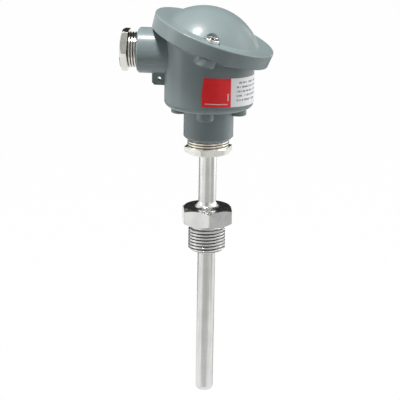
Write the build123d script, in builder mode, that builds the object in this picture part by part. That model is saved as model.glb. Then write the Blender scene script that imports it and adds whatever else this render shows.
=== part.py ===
from build123d import *
from math import cos, radians, sin, sqrt, tan
import os

# Resistance temperature probe with a connection head.
# Origin: centre of the sealing face under the process hexagon.
# +Z runs up the stem to the head, the cable gland points along -X,
# and the lid slopes down towards +X. All sizes are in millimetres.

# Clearances
braze_gap = 0.03
thread_gap = 0.05
running_gap = 0.08
seat_gap = 0.05
loose_gap = 0.3

# Stem
tube_radius = 5.0
tube_wall = 1.0
insertion_length = 100.0
tip_thickness = 5.0
tip_spigot = 2.0
tip_rounding = 2.7
tube_spigot_radius = 4.6
tube_spigot_length = 8.0

# Process connection
process_hex_flats = 27.0
process_hex_height = 10.0
process_hex_turn = -18.4
hex_chamfer_angle = 30.0
hex_face_share = 0.97
process_thread_radius = 10.4775
process_thread_length = 15.2
thread_relief_radius = 9.3
thread_relief_length = 1.9
thread_chamfer = 1.3
weld_collar_radius = 6.3
weld_collar_length = 2.0
weld_fillet_radius = 7.0
weld_fillet_height = 3.4
weld_fillet_arc = 5.4

# Neck fitting
neck_hex_flats = 24.0
neck_hex_height = 4.0
neck_hex_turn = 19.3
neck_thread_radius = 11.75
extension_length = 49.25
neck_collar_length = 4.0
neck_thread_engagement = 10.0
neck_thread_chamfer = 0.8
neck_fitting_recess = 3.0

# Head casting
bowl_radius = 25.0
bowl_wall = 3.0
bowl_bottom_z = 68.4
bowl_bottom_fillet = 3.2
floor_thickness = 3.6
neck_radius = 14.0
neck_chamfer = 2.0
neck_bore_radius = 9.5
neck_bore_ledge = 0.5
foot_circle_radius = 16.5
foot_radius = 4.7
foot_drop = 4.7
foot_edge = 0.5
entry_axis_z = 98.6
entry_radius = 12.8
entry_projection = 15.0
entry_edge = 1.0
entry_bore_depth = 11.5
entry_inner_radius = 8.0
entry_run_in = 6.0
entry_collar_length = 8.0
lug_bottom_z = 79.4
lug_thickness = 4.0
lug_root = 2.0
lug_corner = 1.4
lug_hole_radius = 1.1
lug_hole_inset = 4.1
lug_hole_z = 83.0

# Lid, in the sloping plane of its flange
lid_tilt = 18.7
lid_centre_x = 2.8
lid_centre_z = 110.7
lid_screw_offset = 1.4
lid_screw_overhang = 2.7
lid_screw_edge_distance = 7.0
flange_draft = 0.6
flange_edge = 0.9
lid_plate = 3.0
lid_skirt = 8.3
lid_skirt_wall = 2.4
dome_radius = 25.9
dome_height = 13.0
dome_wall = 2.6
dome_hollow_radius = 21.5
pocket_radius = 5.2
gasket_thickness = 1.2
gasket_width = 2.2
gasket_inset = 0.5
rim_thickness = 3.2
rim_flare = 6.5
lid_screw_radius = 2.5
lid_screw_shank = 15.0
lid_screw_head_radius = 4.0
lid_screw_head_height = 2.6
lid_screw_head_edge = 0.9
lid_screw_slot = 1.0
lid_screw_slot_depth = 1.2
lid_screw_clearance = 0.25
screw_boss_radius = 6.2
screw_boss_length = 9.0

# Cable gland
gland_thread_radius = 10.0
gland_hex_flats = 22.0
gland_hex_height = 4.1
gland_thread_out = 5.2
gland_thread_in = 5.6
gland_bore_radius = 6.5
gland_thread_relief = 0.8
gland_ring_thickness = 1.5
gland_seal_inner = 6.0
gland_ring_radius = 9.7

# Label
label_thickness = 0.15
label_height = 16.1
label_centre_z = 80.3
label_start_angle = 1.0
label_sweep_angle = 112.0
label_skew_angle = 2.5

# Measuring insert
pad_height = 2.0
pad_radius = 4.0
plate_clearance = 1.2
plate_thickness = 1.5
sheath_radius = 3.0
sheath_tip_gap = 0.3
insert_screw_radius = 2.0
insert_screw_bite = 7.5
insert_screw_head_radius = 3.5
insert_screw_head_height = 2.4
insert_screw_slot = 0.8
insert_screw_slot_depth = 1.0
plate_hole_clearance = 0.4
spring_length = 12.4
spring_coil_radius = 3.0
spring_wire = 0.7
block_length = 34.0
block_width = 22.6
block_height = 10.5
block_corner = 5.0
block_bore_radius = 3.4
clamp_size = 8.0
clamp_height = 5.0
clamp_proud = 1.0
clamp_spacing_x = 18.0
clamp_spacing_y = 11.4
clamp_edge = 0.4
terminal_screw_radius = 1.75
terminal_screw_bite = 3.6
terminal_head_radius = 3.1
terminal_head_height = 2.2
terminal_slot = 0.7
terminal_slot_depth = 0.9
lead_radius = 0.6
lead_start_x = 1.4
lead_start_y = 1.0
lead_end_x = 5.8
lead_end_y = 2.6
lead_rise = 2.4
lead_bend = 1.0

# Sizes and heights worked out from the sizes above
lid_screw_reach = bowl_radius + lid_screw_overhang
flange_radius = lid_screw_reach + lid_screw_edge_distance
flange_foot_radius = flange_radius - flange_draft
entry_end_x = -bowl_radius - entry_projection
lug_start_x = entry_end_x + entry_collar_length
lug_hole_x = lug_start_x + lug_hole_inset
plate_radius = bowl_radius - bowl_wall - plate_clearance
floor_z = bowl_bottom_z + floor_thickness
pad_top_z = floor_z + pad_height
plate_z = pad_top_z + seat_gap
plate_top_z = plate_z + plate_thickness
block_z = plate_top_z
block_top_z = block_z + block_height
clamp_z = block_top_z + clamp_proud - clamp_height
clamp_top_z = clamp_z + clamp_height
spring_foot_z = plate_top_z + seat_gap
spring_top_z = spring_foot_z + spring_length
screw_seat_z = spring_top_z + seat_gap
tube_inner_radius = tube_radius - tube_wall
tip_z = -insertion_length
tip_shoulder_z = tip_z + tip_thickness
sheath_end_z = tip_shoulder_z + tip_spigot + sheath_tip_gap
neck_hex_top_z = extension_length - neck_collar_length
neck_hex_z = neck_hex_top_z - neck_hex_height
neck_thread_top_z = extension_length + neck_thread_engagement
tube_top_z = neck_thread_top_z - neck_fitting_recess
stem_weld_z = -process_thread_length - weld_collar_length
extension_weld_z = process_hex_height + weld_fillet_height
spigot_reach = tube_spigot_length - seat_gap

# The sloping plane of the lid's flange and the planes parallel to it
tilt_sin = sin(radians(lid_tilt))
tilt_cos = cos(radians(lid_tilt))
lid_plane = Plane(
    origin=(lid_centre_x, 0, lid_centre_z),
    x_dir=(tilt_cos, 0, -tilt_sin),
    z_dir=(tilt_sin, 0, tilt_cos),
)
# The same origin and slope, turned so that a sketch is a section through the lid's axis
lid_section = Plane(
    origin=(lid_centre_x, 0, lid_centre_z),
    x_dir=(tilt_cos, 0, -tilt_sin),
    z_dir=(0, -1, 0),
)
seat_drop = lid_plate + gasket_thickness
seat_plane = lid_plane.offset(-seat_drop)


def bowl_axis_on(drop):
    """Where the bowl's axis meets the plane at this depth below the flange, along the slope."""
    height = (lid_centre_x * tilt_sin - drop) / tilt_cos
    return -lid_centre_x * tilt_cos - height * tilt_sin


opening_centre = bowl_axis_on(seat_drop)
opening_width = bowl_radius - bowl_wall
opening_length = opening_width / tilt_cos
dome_sphere = (dome_radius**2 + dome_height**2) / (2 * dome_height)
dome_centre = dome_height - dome_sphere
entry_plane = Plane(origin=(entry_end_x, 0, entry_axis_z), x_dir=(0, -1, 0), z_dir=(1, 0, 0))
entry_root_plane = entry_plane.offset(entry_collar_length)
lid_screw_places = [(lid_screw_offset, -lid_screw_reach), (lid_screw_offset, lid_screw_reach)]
foot_places = [(0, -foot_circle_radius), (0, foot_circle_radius)]


def hexagon_radius(flats):
    """Corner radius of a hexagon of this width across flats."""
    return flats / 2 / cos(radians(30))


def turned_hex_blank(plane, flats, height, low=True, high=True):
    """Turned blank that takes the corners off a hexagon's ends at the chamfer angle."""
    corner = hexagon_radius(flats)
    face = flats / 2 * hex_face_share
    drop = (corner - face) * tan(radians(hex_chamfer_angle))
    outline = [(0, 0)]
    outline += [(face, 0), (corner, drop)] if low else [(corner, 0)]
    outline += [(corner, height - drop), (face, height)] if high else [(corner, height)]
    outline += [(0, height)]
    with BuildPart() as blank:
        with BuildSketch(plane):
            with BuildLine():
                Polyline(*outline, close=True)
            make_face()
        revolve(axis=Axis(plane.origin, plane.y_dir))
    return blank.part


def finish(part, name):
    """Label a finished piece and write it."""
    part.label = name
    export_step(part, f"parts/{name}.step")


os.makedirs("parts", exist_ok=True)

# Protection tube, from the welded tip to a spigot in the process connection's lower socket
with BuildPart() as protection_tube:
    with BuildSketch(Plane.XY.offset(tip_shoulder_z)):
        Circle(tube_radius)
    extrude(amount=stem_weld_z - seat_gap - tip_shoulder_z)
    with BuildSketch(Plane.XY.offset(stem_weld_z - seat_gap)):
        Circle(tube_spigot_radius)
    extrude(amount=spigot_reach)
    with BuildSketch(Plane.XY.offset(tip_shoulder_z)):
        Circle(tube_inner_radius)
    extrude(amount=stem_weld_z - tip_shoulder_z + tube_spigot_length, mode=Mode.SUBTRACT)
finish(protection_tube.part, "protection_tube")

# Extension tube, from a spigot in the upper socket to the neck fitting
with BuildPart() as extension_tube:
    with BuildSketch(Plane.XY.offset(extension_weld_z + seat_gap)):
        Circle(tube_radius)
    extrude(amount=tube_top_z - extension_weld_z - seat_gap)
    with BuildSketch(Plane.XY.offset(extension_weld_z + seat_gap)):
        Circle(tube_spigot_radius)
    extrude(amount=-spigot_reach)
    with BuildSketch(Plane.XY.offset(extension_weld_z - tube_spigot_length)):
        Circle(tube_inner_radius)
    extrude(amount=tube_top_z - extension_weld_z + tube_spigot_length, mode=Mode.SUBTRACT)
finish(extension_tube.part, "extension_tube")

# Tip plug with a rounded nose and a spigot in the tube
with BuildPart() as tube_tip:
    with BuildSketch(Plane.XY.offset(tip_z)):
        Circle(tube_radius)
    extrude(amount=tip_thickness)
    fillet(tube_tip.faces().sort_by(Axis.Z)[0].edges(), tip_rounding)
    with BuildSketch(Plane.XY.offset(tip_shoulder_z)):
        Circle(tube_inner_radius - braze_gap)
    extrude(amount=tip_spigot)
finish(tube_tip.part, "tube_tip")

# Process connection: hexagon, thread relief, thread at its major size, weld collars and sockets
with BuildPart() as process_connection:
    with BuildSketch():
        RegularPolygon(process_hex_flats / 2, 6, major_radius=False, rotation=process_hex_turn)
    extrude(amount=process_hex_height)
    add(turned_hex_blank(Plane.XZ, process_hex_flats, process_hex_height), mode=Mode.INTERSECT)
    with BuildSketch(Plane.XZ):
        with BuildLine():
            Polyline(
                (0, 0),
                (thread_relief_radius, 0),
                (thread_relief_radius, -thread_relief_length + thread_chamfer / 2),
                (process_thread_radius, -thread_relief_length - thread_chamfer / 2),
                (process_thread_radius, -process_thread_length + thread_chamfer),
                (process_thread_radius - thread_chamfer, -process_thread_length),
                (weld_collar_radius, -process_thread_length),
                (tube_radius, stem_weld_z),
                (0, stem_weld_z),
                close=True,
            )
        make_face()
    revolve(axis=Axis.Z)
    with BuildSketch(Plane.XZ):
        with BuildLine():
            weld_low = (weld_fillet_radius, process_hex_height)
            weld_high = (tube_radius, extension_weld_z)
            RadiusArc(weld_low, weld_high, -weld_fillet_arc)
            Polyline(weld_high, (0, weld_high[1]), (0, process_hex_height), weld_low)
        make_face()
    revolve(axis=Axis.Z)
    # Bore for the insert, and a socket for each tube
    with BuildSketch(Plane.XY.offset(stem_weld_z)):
        Circle(tube_inner_radius)
    extrude(amount=extension_weld_z - stem_weld_z, mode=Mode.SUBTRACT)
    with BuildSketch(Plane.XY.offset(stem_weld_z)):
        Circle(tube_spigot_radius + braze_gap)
    extrude(amount=tube_spigot_length, mode=Mode.SUBTRACT)
    with BuildSketch(Plane.XY.offset(extension_weld_z)):
        Circle(tube_spigot_radius + braze_gap)
    extrude(amount=-tube_spigot_length, mode=Mode.SUBTRACT)
finish(process_connection.part, "process_connection")

# Neck fitting: hexagon below, screwed collar above, brazed on the tube
with BuildPart() as neck_fitting:
    with BuildSketch(Plane.XY.offset(neck_hex_z)):
        RegularPolygon(neck_hex_flats / 2, 6, major_radius=False, rotation=neck_hex_turn)
    extrude(amount=neck_hex_height)
    neck_section = Plane(origin=(0, 0, neck_hex_z), x_dir=(1, 0, 0), z_dir=(0, -1, 0))
    add(turned_hex_blank(neck_section, neck_hex_flats, neck_hex_height, high=False), mode=Mode.INTERSECT)
    with BuildSketch(Plane.XY.offset(neck_hex_top_z)):
        Circle(neck_thread_radius)
    extrude(amount=neck_thread_top_z - neck_hex_top_z)
    chamfer(neck_fitting.faces().sort_by(Axis.Z)[-1].edges(), neck_thread_chamfer)
    with BuildSketch(Plane.XY.offset(neck_hex_z)):
        Circle(tube_radius + braze_gap)
    extrude(amount=neck_thread_top_z - neck_hex_z, mode=Mode.SUBTRACT)
finish(neck_fitting.part, "neck_fitting")

# Head casting: bowl, neck, feet, root of the entry boss, sloping rim, lid screw bosses and lug
with BuildPart() as head_body:
    with BuildSketch(Plane.XZ):
        with BuildLine():
            Polyline(
                (0, extension_length),
                (neck_radius - neck_chamfer, extension_length),
                (neck_radius, extension_length + neck_chamfer),
                (neck_radius, bowl_bottom_z),
                (bowl_radius - bowl_bottom_fillet, bowl_bottom_z),
            )
            RadiusArc((bowl_radius - bowl_bottom_fillet, bowl_bottom_z),
                      (bowl_radius, bowl_bottom_z + bowl_bottom_fillet), -bowl_bottom_fillet)
            Polyline(
                (bowl_radius, bowl_bottom_z + bowl_bottom_fillet),
                (bowl_radius, lid_centre_z + flange_radius),
                (0, lid_centre_z + flange_radius),
                (0, extension_length),
            )
        make_face()
    revolve(axis=Axis.Z)
    # Rim that flares out under the lid
    with BuildSketch(lid_section):
        with BuildLine():
            rim_radius = flange_radius - lid_skirt_wall - 2 * loose_gap
            rim_low = seat_drop + rim_thickness
            Polyline(
                (0, -seat_drop),
                (rim_radius, -seat_drop),
                (rim_radius, -rim_low),
                (bowl_radius - bowl_wall, -rim_low - rim_flare),
                (0, -rim_low - rim_flare),
                close=True,
            )
        make_face()
    revolve(axis=Axis(lid_plane.origin, lid_plane.z_dir))
    # Root of the entry boss, run on into the bowl's wall
    with BuildSketch(entry_root_plane):
        Circle(entry_radius)
    extrude(amount=-entry_end_x - entry_collar_length - bowl_radius + entry_run_in)
    # Bosses for the lid screws
    with BuildSketch(seat_plane):
        with Locations(*lid_screw_places):
            Circle(screw_boss_radius)
    extrude(amount=-screw_boss_length)
    # Room for the lid's skirt outside the rim
    with BuildSketch(seat_plane):
        Circle(2 * flange_radius)
        Circle(rim_radius, mode=Mode.SUBTRACT)
    extrude(amount=seat_drop - lid_skirt - loose_gap, mode=Mode.SUBTRACT)
    # Lug under the entry boss
    with BuildSketch(Plane.XZ.offset(-lug_thickness / 2)):
        with BuildLine():
            Polyline(
                (lug_start_x, entry_axis_z - entry_radius + lug_root),
                (lug_start_x, lug_bottom_z + lug_corner),
                (lug_start_x + lug_corner, lug_bottom_z),
                (-bowl_radius + bowl_wall / 2, lug_bottom_z),
                (-bowl_radius + bowl_wall / 2, entry_axis_z - entry_radius + lug_root),
                close=True,
            )
        make_face()
        with Locations((lug_hole_x, lug_hole_z)):
            Circle(lug_hole_radius, mode=Mode.SUBTRACT)
    extrude(amount=lug_thickness)
    # Everything above the sloping seat comes off
    split(bisect_by=seat_plane, keep=Keep.BOTTOM)
    # Feet under the bowl
    with BuildSketch(Plane.XY.offset(bowl_bottom_z - foot_drop)):
        with PolarLocations(foot_circle_radius, 4):
            Circle(foot_radius)
    extrude(amount=foot_drop + floor_thickness / 2)
    foot_z = bowl_bottom_z - foot_drop
    foot_faces = head_body.faces().filter_by(Plane.XY).filter_by_position(Axis.Z, foot_z - braze_gap, foot_z + braze_gap)
    foot_arcs = foot_faces.edges().filter_by(lambda edge: abs(edge.radius - foot_radius) < braze_gap)
    chamfer(foot_arcs, foot_edge)
    # Inside of the bowl
    with BuildSketch(Plane.XY.offset(floor_z)):
        Circle(bowl_radius - bowl_wall)
    extrude(amount=lid_centre_z + flange_radius - floor_z, mode=Mode.SUBTRACT)
    with BuildSketch(Plane.XY.offset(floor_z - floor_thickness / 4)):
        with Locations(*foot_places):
            Circle(pad_radius)
    extrude(amount=pad_height + floor_thickness / 4)
    with BuildSketch(Plane.XY.offset(pad_top_z)):
        with Locations(*foot_places):
            Circle(insert_screw_radius + thread_gap)
    extrude(amount=-insert_screw_bite - loose_gap, mode=Mode.SUBTRACT)
    # Neck bore with its thread, and the opening in the floor
    with BuildSketch(Plane.XY.offset(extension_length)):
        Circle(neck_thread_radius + thread_gap)
    extrude(amount=neck_thread_engagement + neck_bore_ledge, mode=Mode.SUBTRACT)
    with BuildSketch(Plane.XY.offset(extension_length)):
        Circle(neck_bore_radius)
    extrude(amount=floor_z - extension_length + pad_height, mode=Mode.SUBTRACT)
    # Entry bore with its shoulder for the seal
    with BuildSketch(entry_plane):
        Circle(gland_thread_radius + thread_gap)
    extrude(amount=entry_bore_depth, mode=Mode.SUBTRACT)
    with BuildSketch(entry_plane):
        Circle(entry_inner_radius)
    extrude(amount=-entry_end_x - bowl_radius + entry_run_in + bowl_wall, mode=Mode.SUBTRACT)
    # Threaded holes for the lid screws
    with BuildSketch(seat_plane):
        with Locations(*lid_screw_places):
            Circle(lid_screw_radius + running_gap)
    extrude(amount=-screw_boss_length, mode=Mode.SUBTRACT)
finish(head_body.part, "head_body")

# Outer length of the entry boss, flush against its root and carrying the gland's thread
with BuildPart() as head_entry:
    with BuildSketch(entry_plane):
        Circle(entry_radius)
    extrude(amount=entry_collar_length)
    chamfer(head_entry.faces().sort_by(Axis.X)[0].edges(), entry_edge)
    with BuildSketch(entry_plane):
        Circle(gland_thread_radius + thread_gap)
    extrude(amount=entry_collar_length, mode=Mode.SUBTRACT)
finish(head_entry.part, "head_entry")

# Gasket that follows the sloping rim of the bowl
with BuildPart() as lid_gasket:
    with BuildSketch(seat_plane):
        with Locations((opening_centre, 0)):
            Ellipse(opening_length + gasket_inset + gasket_width, opening_width + gasket_inset + gasket_width)
            Ellipse(opening_length + gasket_inset, opening_width + gasket_inset, mode=Mode.SUBTRACT)
    extrude(amount=gasket_thickness)
finish(lid_gasket.part, "lid_gasket")

# Lid: flange with a skirt, domed crown, hollow underside and screw pockets
with BuildPart() as lid:
    with BuildSketch(lid_section):
        with BuildLine():
            inner_sphere = dome_sphere - dome_wall
            inner_top = dome_centre + inner_sphere
            inner_edge = dome_centre + sqrt(inner_sphere**2 - dome_hollow_radius**2)
            skirt_radius = flange_radius - lid_skirt_wall
            RadiusArc((0, inner_top), (dome_hollow_radius, inner_edge), inner_sphere)
            Polyline(
                (dome_hollow_radius, inner_edge),
                (dome_hollow_radius, -lid_plate),
                (skirt_radius, -lid_plate),
                (skirt_radius, -lid_skirt),
                (flange_foot_radius, -lid_skirt),
                (flange_radius, -flange_edge),
            )
            RadiusArc((flange_radius, -flange_edge), (flange_radius - flange_edge, 0), -flange_edge)
            Line((flange_radius - flange_edge, 0), (dome_radius, 0))
            RadiusArc((dome_radius, 0), (0, dome_height), -dome_sphere)
            Line((0, dome_height), (0, inner_top))
        make_face()
    revolve(axis=Axis(lid_plane.origin, lid_plane.z_dir))
    with BuildSketch(lid_plane):
        with Locations(*lid_screw_places):
            Circle(pocket_radius)
    extrude(amount=dome_height, mode=Mode.SUBTRACT)
    with BuildSketch(lid_plane):
        with Locations(*lid_screw_places):
            Circle(lid_screw_radius + lid_screw_clearance)
    extrude(amount=-lid_plate, mode=Mode.SUBTRACT)
finish(lid.part, "lid")

# Captive lid screws, one on each side
for name, place in zip(("front_lid_screw", "rear_lid_screw"), lid_screw_places):
    with BuildPart() as lid_screw:
        with BuildSketch(lid_plane.offset(seat_gap)):
            with Locations(place):
                Circle(lid_screw_head_radius)
        extrude(amount=lid_screw_head_height)
        head_rim = lid_screw.faces().filter_by(GeomType.PLANE).sort_by(Axis(lid_plane.origin, lid_plane.z_dir))[-1]
        fillet(head_rim.edges(), lid_screw_head_edge)
        with BuildSketch(lid_plane.offset(seat_gap)):
            with Locations(place):
                Circle(lid_screw_radius)
        extrude(amount=-lid_screw_shank + lid_plate)
        with BuildSketch(lid_plane.offset(seat_gap + lid_screw_head_height)):
            with Locations(place):
                Rectangle(2 * lid_screw_head_radius, lid_screw_slot)
        extrude(amount=-lid_screw_slot_depth, mode=Mode.SUBTRACT)
    finish(lid_screw.part, name)

# Gland screw: hexagon outside, thread in the entry boss, bore for the cable
with BuildPart() as gland_screw:
    gland_face = entry_plane.offset(-gland_thread_out)
    outer_face = gland_face.offset(-gland_hex_height)
    with BuildSketch(outer_face):
        RegularPolygon(gland_hex_flats / 2, 6, major_radius=False)
    extrude(amount=gland_hex_height)
    turned = Plane(origin=outer_face.origin, x_dir=(0, 0, 1), z_dir=(0, 1, 0))
    add(turned_hex_blank(turned, gland_hex_flats, gland_hex_height, high=False), mode=Mode.INTERSECT)
    with BuildSketch(gland_face):
        Circle(gland_thread_radius)
    extrude(amount=gland_thread_out + gland_thread_in)
    chamfer(gland_screw.faces().sort_by(Axis.X)[-1].edges(), gland_thread_relief)
    with BuildSketch(outer_face):
        Circle(gland_bore_radius)
    extrude(amount=gland_hex_height + gland_thread_out + gland_thread_in, mode=Mode.SUBTRACT)
finish(gland_screw.part, "gland_screw")

# Pressure ring and rubber seal ahead of the gland screw
with BuildPart() as gland_ring:
    with BuildSketch(entry_plane.offset(gland_thread_in)):
        Circle(gland_ring_radius)
        Circle(gland_bore_radius + running_gap, mode=Mode.SUBTRACT)
    extrude(amount=gland_ring_thickness)
finish(gland_ring.part, "gland_ring")

with BuildPart() as gland_seal:
    with BuildSketch(entry_plane.offset(gland_thread_in + gland_ring_thickness + seat_gap)):
        Circle(gland_ring_radius)
        Circle(gland_seal_inner, mode=Mode.SUBTRACT)
    extrude(amount=entry_bore_depth - gland_thread_in - gland_ring_thickness - seat_gap)
finish(gland_seal.part, "gland_seal")

# Label that wraps round the front right of the bowl
with BuildPart() as head_label:
    label_span = bowl_radius + label_thickness
    with BuildSketch(Plane.XY.offset(label_centre_z - label_height)):
        Circle(label_span)
        Circle(bowl_radius, mode=Mode.SUBTRACT)
    extrude(amount=2 * label_height)
    half_sweep = label_sweep_angle / 2
    facing = radians(label_start_angle + half_sweep)
    label_frame = Plane(origin=(0, 0, label_centre_z), x_dir=(cos(facing), sin(facing), 0),
                        z_dir=(sin(facing), -cos(facing), 0))
    with BuildSketch(label_frame):
        Rectangle(2 * label_span * sin(radians(half_sweep)), label_height, rotation=-label_skew_angle)
    extrude(amount=2 * label_span, mode=Mode.INTERSECT)
finish(head_label.part, "head_label")

# Insert plate that carries the terminal block and the sheath
with BuildPart() as insert_plate:
    with BuildSketch(Plane.XY.offset(plate_z)):
        Circle(plate_radius)
        Circle(sheath_radius + braze_gap, mode=Mode.SUBTRACT)
        with Locations(*foot_places):
            Circle(insert_screw_radius + plate_hole_clearance, mode=Mode.SUBTRACT)
    extrude(amount=plate_thickness)
finish(insert_plate.part, "insert_plate")

# Sealed sheath with the sensing element at its end
with BuildPart() as insert_sheath:
    with BuildSketch(Plane.XY.offset(sheath_end_z)):
        Circle(sheath_radius)
    extrude(amount=plate_top_z - sheath_end_z)
    fillet(insert_sheath.faces().sort_by(Axis.Z)[0].edges(), sheath_radius / 2)
finish(insert_sheath.part, "insert_sheath")

# Ceramic terminal block with a seat for each clamp
clamp_grid = GridLocations(clamp_spacing_x, clamp_spacing_y, 2, 2)
with BuildPart() as terminal_block:
    with BuildSketch(Plane.XY.offset(block_z)):
        RectangleRounded(block_length, block_width, block_corner)
        Circle(block_bore_radius, mode=Mode.SUBTRACT)
    extrude(amount=block_height)
    with BuildSketch(Plane.XY.offset(block_top_z)):
        with clamp_grid:
            Rectangle(clamp_size + 2 * loose_gap, clamp_size + 2 * loose_gap)
    extrude(amount=clamp_z - block_top_z, mode=Mode.SUBTRACT)
finish(terminal_block.part, "terminal_block")

# Brass clamps in the block
with BuildPart() as terminal_clamps:
    with BuildSketch(Plane.XY.offset(clamp_z)):
        with clamp_grid:
            Rectangle(clamp_size, clamp_size)
            Circle(terminal_screw_radius + thread_gap, mode=Mode.SUBTRACT)
    extrude(amount=clamp_height)
    chamfer(terminal_clamps.edges().group_by(Axis.Z)[-1].filter_by(GeomType.LINE), clamp_edge)
finish(terminal_clamps.part, "terminal_clamps")

# Terminal screws with slotted heads
with BuildPart() as terminal_screws:
    with BuildSketch(Plane.XY.offset(clamp_top_z - terminal_screw_bite)):
        with clamp_grid:
            Circle(terminal_screw_radius)
    extrude(amount=terminal_screw_bite)
    with BuildSketch(Plane.XY.offset(clamp_top_z)):
        with clamp_grid:
            Circle(terminal_head_radius)
    extrude(amount=terminal_head_height)
    with BuildSketch(Plane.XY.offset(clamp_top_z + terminal_head_height)):
        with clamp_grid:
            Rectangle(2 * terminal_head_radius, terminal_slot)
    extrude(amount=-terminal_slot_depth, mode=Mode.SUBTRACT)
finish(terminal_screws.part, "terminal_screws")

# Screws that hold the insert down through its springs
with BuildPart() as insert_screws:
    with BuildSketch(Plane.XY.offset(pad_top_z - insert_screw_bite)):
        with Locations(*foot_places):
            Circle(insert_screw_radius)
    extrude(amount=screw_seat_z - pad_top_z + insert_screw_bite)
    with BuildSketch(Plane.XY.offset(screw_seat_z)):
        with Locations(*foot_places):
            Circle(insert_screw_head_radius)
    extrude(amount=insert_screw_head_height)
    with BuildSketch(Plane.XY.offset(screw_seat_z + insert_screw_head_height)):
        with Locations(*foot_places):
            Rectangle(2 * insert_screw_head_radius, insert_screw_slot)
    extrude(amount=-insert_screw_slot_depth, mode=Mode.SUBTRACT)
finish(insert_screws.part, "insert_screws")

# Springs round the insert screws, as plain sleeves of the coil's outline
with BuildPart() as insert_springs:
    with BuildSketch(Plane.XY.offset(spring_foot_z)):
        with Locations(*foot_places):
            Circle(spring_coil_radius + spring_wire / 2)
            Circle(spring_coil_radius - spring_wire / 2, mode=Mode.SUBTRACT)
    extrude(amount=spring_length)
finish(insert_springs.part, "insert_springs")

# Lead wires from the sheath up through the block and out to the clamps
lead_wires_pieces = []
for side_x in (-1, 1):
    for side_y in (-1, 1):
        start = (side_x * lead_start_x, side_y * lead_start_y)
        end = (side_x * lead_end_x, side_y * lead_end_y)
        over_z = clamp_top_z + lead_rise
        with BuildPart() as lead:
            with BuildLine() as route:
                FilletPolyline(
                    (start[0], start[1], plate_top_z + seat_gap),
                    (start[0], start[1], over_z),
                    (end[0], end[1], over_z),
                    (end[0], end[1], clamp_top_z + seat_gap),
                    radius=lead_bend,
                )
            with BuildSketch(Plane(origin=route.line @ 0, z_dir=route.line % 0)):
                Circle(lead_radius)
            sweep()
        lead_wires_pieces.append(lead.part)
with BuildPart() as lead_wires:
    add(lead_wires_pieces)
finish(lead_wires.part, "lead_wires")
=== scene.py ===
import math

import bmesh
import bpy
import numpy as np
from bpy.props import FloatProperty, FloatVectorProperty, IntProperty, PointerProperty
from mathutils import Matrix, Vector


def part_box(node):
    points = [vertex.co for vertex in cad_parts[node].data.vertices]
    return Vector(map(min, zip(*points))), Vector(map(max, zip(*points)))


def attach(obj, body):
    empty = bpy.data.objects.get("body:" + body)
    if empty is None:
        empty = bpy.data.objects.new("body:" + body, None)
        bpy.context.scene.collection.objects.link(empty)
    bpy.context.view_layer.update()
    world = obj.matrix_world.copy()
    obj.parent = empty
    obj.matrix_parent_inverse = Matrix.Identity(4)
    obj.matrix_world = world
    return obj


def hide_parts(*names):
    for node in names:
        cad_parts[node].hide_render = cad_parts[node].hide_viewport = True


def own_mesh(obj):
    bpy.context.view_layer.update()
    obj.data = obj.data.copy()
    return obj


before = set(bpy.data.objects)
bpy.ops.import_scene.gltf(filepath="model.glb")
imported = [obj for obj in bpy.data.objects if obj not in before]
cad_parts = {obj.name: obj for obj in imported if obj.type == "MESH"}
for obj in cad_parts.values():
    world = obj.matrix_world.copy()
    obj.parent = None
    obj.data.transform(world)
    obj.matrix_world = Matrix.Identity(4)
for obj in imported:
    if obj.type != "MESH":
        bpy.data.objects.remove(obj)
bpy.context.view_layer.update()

bl_info = {
    "name": "Temperature probe with connection head",
    "version": (1, 0, 0),
    "blender": (4, 5, 0),
    "location": "View3D > Sidebar > Probe",
    "description": "Finishes, threads, screws, springs, label and studio for a screwed-in temperature probe",
    "category": "Object",
}

# Lengths are in metres and follow the frame: +Z up the stem, -X along the cable entry
MM = 0.001

# Fineness of the meshes
PROCESS_SIDES = 288
FITTING_SIDES = 240
LID_SCREW_SIDES = 96
THREAD_ROWS_PER_PITCH = 24
SMOOTH_ANGLE = math.radians(22)
MERGE_DISTANCE = 1e-7

# Hexagons and threads
HEX_FACE_SHARE = 0.955
HEX_CHAMFER = math.radians(30)
HEX_SHARPNESS = 140.0
THREAD_ROOT_SHARE = 0.1
THREAD_FLANK_SHARE = 0.5

# Stem and process connection
TUBE_RADIUS = 5.0 * MM
TUBE_BORE = 5.03 * MM
SOCKET_RADIUS = 4.63 * MM
SOCKET_LENGTH = 8.0 * MM
INSERT_BORE = 4.0 * MM
PROCESS_FLATS = 27.0 * MM
PROCESS_HEX_HEIGHT = 10.0 * MM
PROCESS_TURN = math.radians(-18.4)
PROCESS_RADIUS = 10.4775 * MM
PROCESS_BOTTOM = -15.2 * MM
PROCESS_CHAMFER = 1.3 * MM
RELIEF_RADIUS = 9.3 * MM
THREAD_TOP = -1.9 * MM

# Weld below the thread, and the weld fillet above the hexagon
WELD_RADIUS = 6.3 * MM
WELD_LOW = -17.2 * MM
WELD_ROWS = 7
WELD_FIRST_ROW = 0.15
WELD_WAVES = 44
WELD_RIPPLE = 0.06 * MM
FILLET_RADIUS = 7.0 * MM
FILLET_HEIGHT = 3.4 * MM
FILLET_ROWS = 9
FILLET_POWER = 2.6
FILLET_WAVES = 52
FILLET_RIPPLE = 0.05 * MM

# Neck fitting
NECK_FLATS = 24.0 * MM
NECK_TURN = math.radians(19.3)
NECK_HEX_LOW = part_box("neck_fitting")[0].z
NECK_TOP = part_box("neck_fitting")[1].z
NECK_HEX_HEIGHT = 4.0 * MM
NECK_RADIUS = 11.75 * MM
NECK_CHAMFER = 0.8 * MM
NECK_THREAD_LOW = NECK_HEX_LOW + NECK_HEX_HEIGHT

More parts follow.
